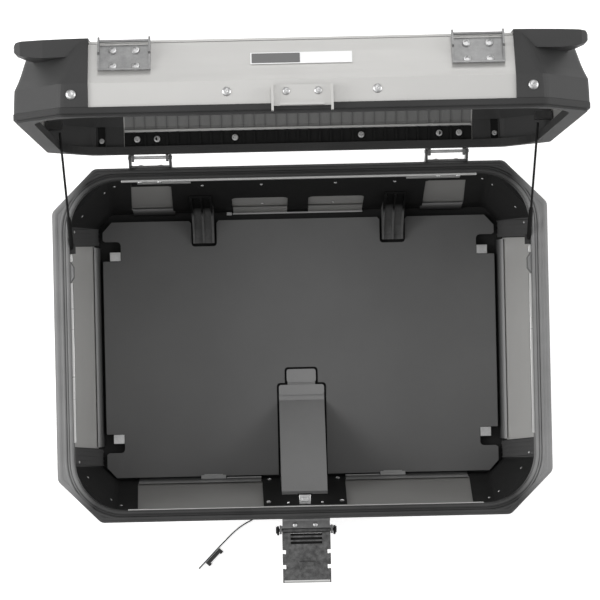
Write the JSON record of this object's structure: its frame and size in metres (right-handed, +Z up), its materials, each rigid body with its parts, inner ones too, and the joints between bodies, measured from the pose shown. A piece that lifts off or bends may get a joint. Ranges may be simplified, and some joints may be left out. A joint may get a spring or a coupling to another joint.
{
  "type": "motorcycle top case",
  "caption": "Hard motorcycle top case of aluminium sheets and black plastic corners, with a hinged lid, stays, front latch and a floor cover over its docking lock.",
  "frame": {"origin": "centre of the underside", "axes": "+Z up, +X to the right seen from the front, -Y the front with the latch, +Y the hinge side"},
  "size_m": [0.59, 0.6022, 0.669],
  "materials": {
    "aluminium": "brushed, clear anodised, slightly warm",
    "black_plastic": "fine moulded grain, satin",
    "seal_rubber": "matt",
    "floor_plate": "fine texture, matt",
    "steel": "zinc plated, bright",
    "galvanised_steel": "mottled, cast and tumbled",
    "stay_cord": "braided",
    "tag_plastic": "satin",
    "name_plate": "printed panel without lettering",
    "button_red": "satin"
  },
  "bodies": {
    "case": {"base_front_panel": "aluminium", "base_rear_panel": "aluminium", "base_left_panel": "aluminium", "base_right_panel": "aluminium", "bottom_pan": "black_plastic", "base_corner_front_left": "black_plastic", "base_corner_front_right": "black_plastic", "base_corner_rear_left": "black_plastic", "base_corner_rear_right": "black_plastic", "base_rim_frame": "black_plastic", "rear_liner": "black_plastic", "front_lock_backplate": "black_plastic", "strap_guide_left": "black_plastic", "strap_guide_right": "black_plastic", "stay_anchor_base_left": "black_plastic", "stay_anchor_base_right": "black_plastic", "lock_housing": "black_plastic", "latch_pin": "black_plastic", "rim_seal": "seal_rubber", "floor_cover": "floor_plate", "lock_cover": "floor_plate", "strap_anchor_front_left": "steel", "strap_anchor_front_right": "steel", "strap_anchor_rear_left": "steel", "strap_anchor_rear_right": "steel", "hinge_base_leaf_left": "steel", "hinge_base_leaf_right": "steel", "hinge_pin_left": "steel", "hinge_pin_right": "steel", "latch_bracket": "steel", "stay_left": "stay_cord", "stay_right": "stay_cord", "tag_cord": "stay_cord", "cord_tag": "tag_plastic"},
    "lid": {"lid_front_panel": "aluminium", "lid_rear_panel": "aluminium", "lid_left_panel": "aluminium", "lid_right_panel": "aluminium", "lid_top_panel": "aluminium", "lid_rim_frame": "black_plastic", "lid_corner_front_left": "black_plastic", "lid_corner_front_right": "black_plastic", "lid_corner_rear_left": "black_plastic", "lid_corner_rear_right": "black_plastic", "lid_liner_strip": "black_plastic", "stay_anchor_lid_left": "black_plastic", "stay_anchor_lid_right": "black_plastic", "hinge_lid_leaf_left": "steel", "hinge_lid_leaf_right": "steel", "striker_bracket": "steel", "tie_down_bracket_front_left": "steel", "tie_down_bracket_front_right": "steel", "tie_down_bracket_rear_left": "steel", "tie_down_bracket_rear_right": "steel", "name_plate": "name_plate"},
    "lever": {"latch_lever": "galvanised_steel"},
    "button": {"release_button": "button_red"},
    "key": {"lock_cylinder": "steel"},
    "hook": {"docking_hook": "steel"}
  },
  "joints": [
    {"name": "lid_hinge", "type": "hinge", "parent": "case", "child": "lid", "pos_m": [0, 0.223, 0.225], "axis": [1, 0, 0], "range_deg": [0, 90], "deforming": ["stay_left", "stay_right"]},
    {"name": "latch_hinge", "type": "hinge", "parent": "case", "child": "lever", "pos_m": [0, -0.226, 0.198], "axis": [-1, 0, 0], "range_deg": [0, 90]},
    {"name": "button_press", "type": "slide", "parent": "case", "child": "button", "axis": [0, 1, 0], "range_m": [0, 0.006], "stiffness_N_per_m": 600, "springref_m": -0.002},
    {"name": "key_turn", "type": "hinge", "parent": "case", "child": "key", "pos_m": [0, -0.2, 0.092], "axis": [0, 1, 0], "range_deg": [0, 90]},
    {"name": "hook_slide", "type": "slide", "parent": "case", "child": "hook", "axis": [0, 1, 0], "range_m": [0, 0.006]}
  ],
  "couplings": [
    {"joint": "hook_slide", "follows": "button_press", "ratio": 1}
  ]
}
